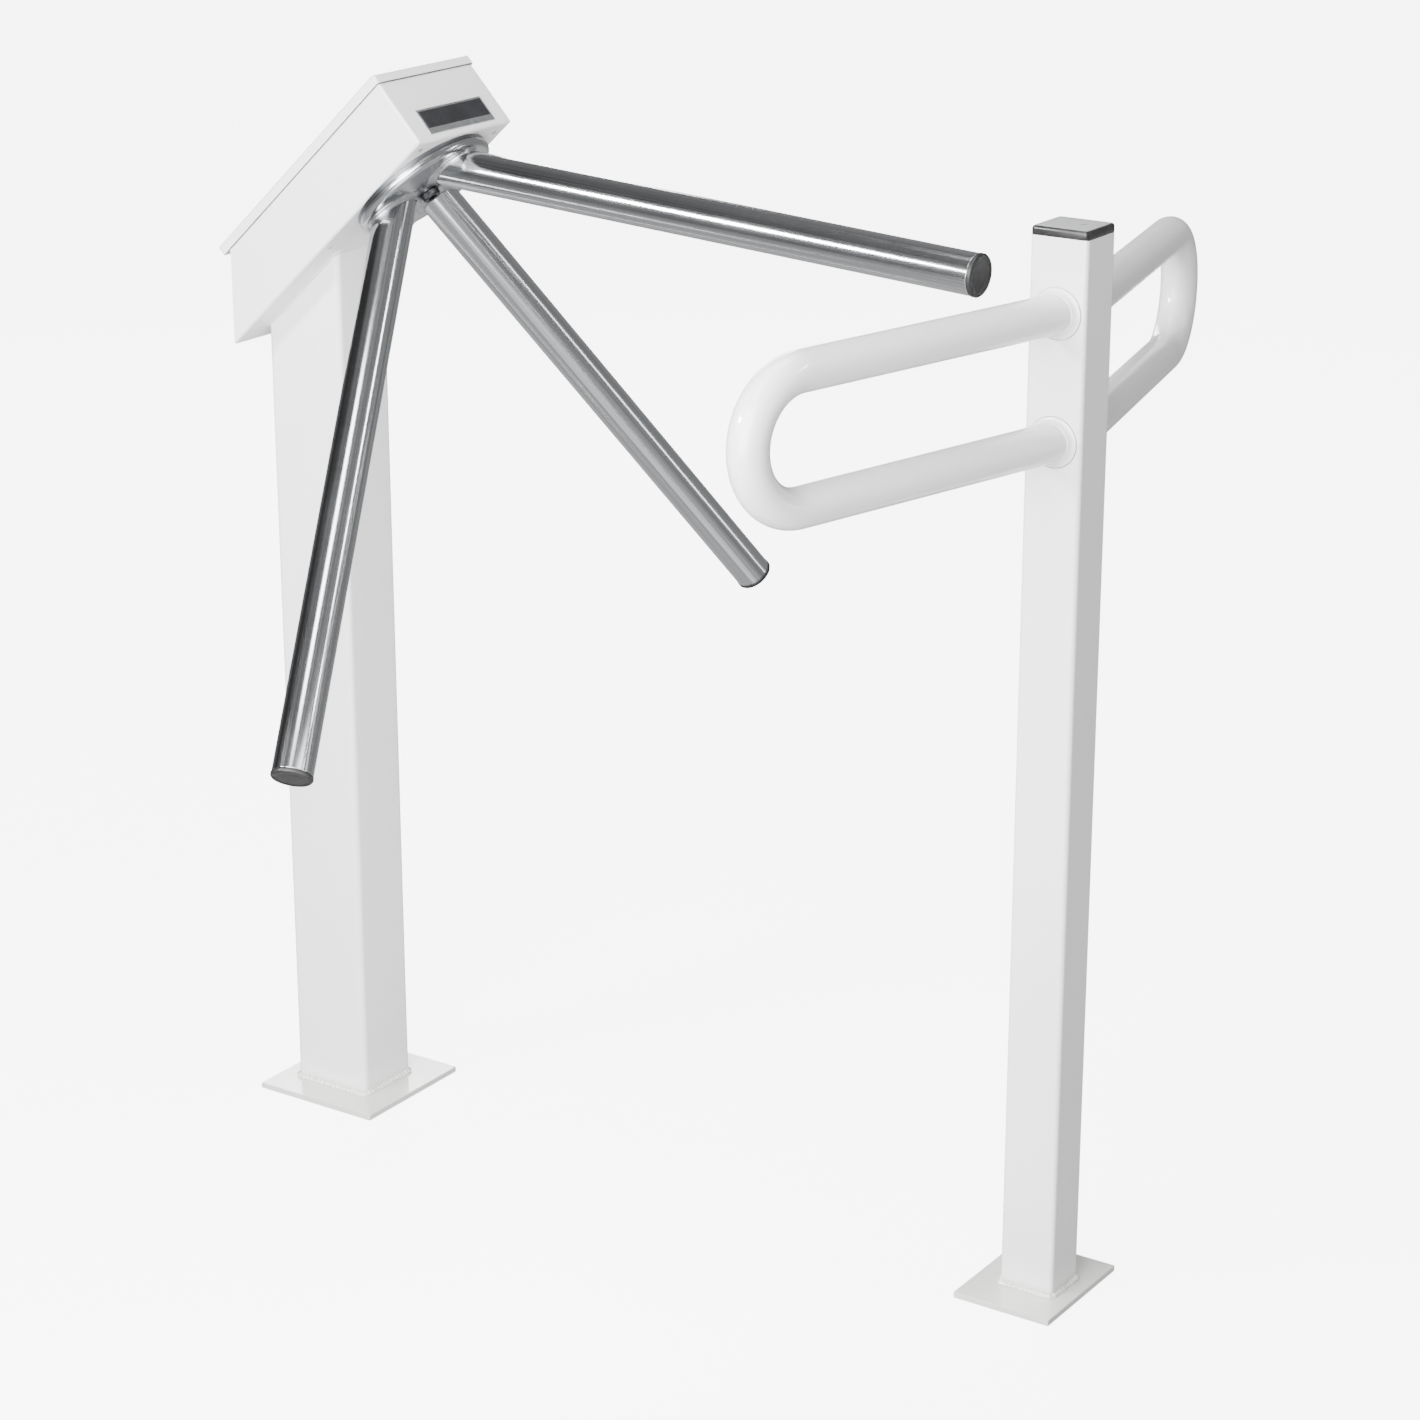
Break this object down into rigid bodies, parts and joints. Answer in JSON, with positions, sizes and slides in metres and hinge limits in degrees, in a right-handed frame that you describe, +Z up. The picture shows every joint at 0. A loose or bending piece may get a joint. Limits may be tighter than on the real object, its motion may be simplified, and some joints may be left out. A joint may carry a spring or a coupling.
{
  "type": "tripod turnstile",
  "caption": "Tripod turnstile: post with a sloped mechanism head, a tilted rotor with three arms, and a separate guide post with hoops.",
  "frame": {"origin": "centre of the cable hole in the underside of the pedestal's base plate, on the pedestal post's centre line, at floor level", "axes": "+X across the passage from the pedestal to the guide post, +Y along the walking direction, +Z up"},
  "size_m": [0.9427, 0.783, 1.0751],
  "materials": {
    "white_paint": "gloss powder coat",
    "stainless": "brushed and polished",
    "plain_steel": "machined",
    "bearing_steel": "ground",
    "fastener_steel": "zinc plated",
    "dark_steel": "blackened",
    "plate_black": "satin",
    "gear_brass": "machined",
    "black_plastic": "satin",
    "damper_paint": "satin",
    "board_laminate": "gloss"
  },
  "bodies": {
    "frame": {"pedestal_base_plate": "white_paint", "pedestal_post": "white_paint", "head_casing": "white_paint", "head_lid": "white_paint", "lid_blocks": "white_paint", "lid_screws": "fastener_steel", "name_plate": "plate_black", "cover_ring": "dark_steel", "mechanism_plate": "plain_steel", "mechanism_screws": "fastener_steel", "bearing_housing": "plain_steel", "housing_screws": "fastener_steel", "bearing_outer_rings": "bearing_steel", "bearing_balls": "bearing_steel", "bearing_circlip": "dark_steel", "damper_body": "damper_paint", "pawl_posts": "plain_steel", "pawl_clips": "dark_steel", "pawl_springs": "plain_steel", "solenoid_brackets": "plain_steel", "entry_solenoid": "dark_steel", "exit_solenoid": "dark_steel", "control_board": "board_laminate", "board_parts": "black_plastic", "board_standoffs": "gear_brass", "guide_base_plate": "white_paint", "guide_post": "white_paint", "guide_cap": "black_plastic", "near_hoop": "white_paint", "far_hoop": "white_paint"},
    "rotor": {"bearing_inner_rings": "bearing_steel", "bearing_spacer": "plain_steel", "rotor_shaft": "plain_steel", "drive_key": "dark_steel", "drive_gear": "gear_brass", "wheel_spacer": "plain_steel", "lock_wheel": "plain_steel", "shaft_washer": "fastener_steel", "shaft_nut": "fastener_steel", "hub_disc": "stainless", "hub_dowels": "plain_steel", "hub_washer": "dark_steel", "hub_bolt": "dark_steel", "arm_1": "stainless", "arm_2": "stainless", "arm_3": "stainless", "arm_cap_1": "black_plastic", "arm_cap_2": "black_plastic", "arm_cap_3": "black_plastic"},
    "damper_rotor": {"damper_pinion": "gear_brass"},
    "entry_pawl_body": {"entry_pawl": "dark_steel"},
    "exit_pawl_body": {"exit_pawl": "dark_steel"},
    "entry_plunger_body": {"entry_plunger": "fastener_steel"},
    "exit_plunger_body": {"exit_plunger": "fastener_steel"}
  },
  "joints": [
    {"name": "rotor_spin", "type": "hinge", "parent": "frame", "child": "rotor", "pos_m": [0.12067, 0, 0.96553], "axis": [-0.682, 0, 0.7314], "continuous": true},
    {"name": "damper_spin", "type": "hinge", "parent": "frame", "child": "damper_rotor", "pos_m": [0.0422, 0, 0.94704], "axis": [-0.682, 0, 0.7314], "continuous": true},
    {"name": "entry_pawl_swing", "type": "hinge", "parent": "frame", "child": "entry_pawl_body", "pos_m": [0.05595, 0.054, 0.97628], "axis": [0.682, 0, -0.7314], "range_deg": [0, 8], "stiffness_Nm_per_rad": 0.15, "springref_deg": -11.46},
    {"name": "exit_pawl_swing", "type": "hinge", "parent": "frame", "child": "exit_pawl_body", "pos_m": [0.05595, -0.054, 0.97628], "axis": [-0.682, 0, 0.7314], "range_deg": [0, 8], "stiffness_Nm_per_rad": 0.15, "springref_deg": -11.46},
    {"name": "entry_plunger_slide", "type": "slide", "parent": "frame", "child": "entry_plunger_body", "axis": [-0.7314, 0, -0.682], "range_m": [0, 0.0026]},
    {"name": "exit_plunger_slide", "type": "slide", "parent": "frame", "child": "exit_plunger_body", "axis": [-0.7314, 0, -0.682], "range_m": [0, 0.0026]}
  ],
  "couplings": [
    {"joint": "damper_spin", "follows": "rotor_spin", "ratio": -2.5},
    {"joint": "entry_plunger_slide", "follows": "entry_pawl_swing", "m_per_rad": 0.015987},
    {"joint": "exit_plunger_slide", "follows": "exit_pawl_swing", "m_per_rad": 0.015987}
  ]
}
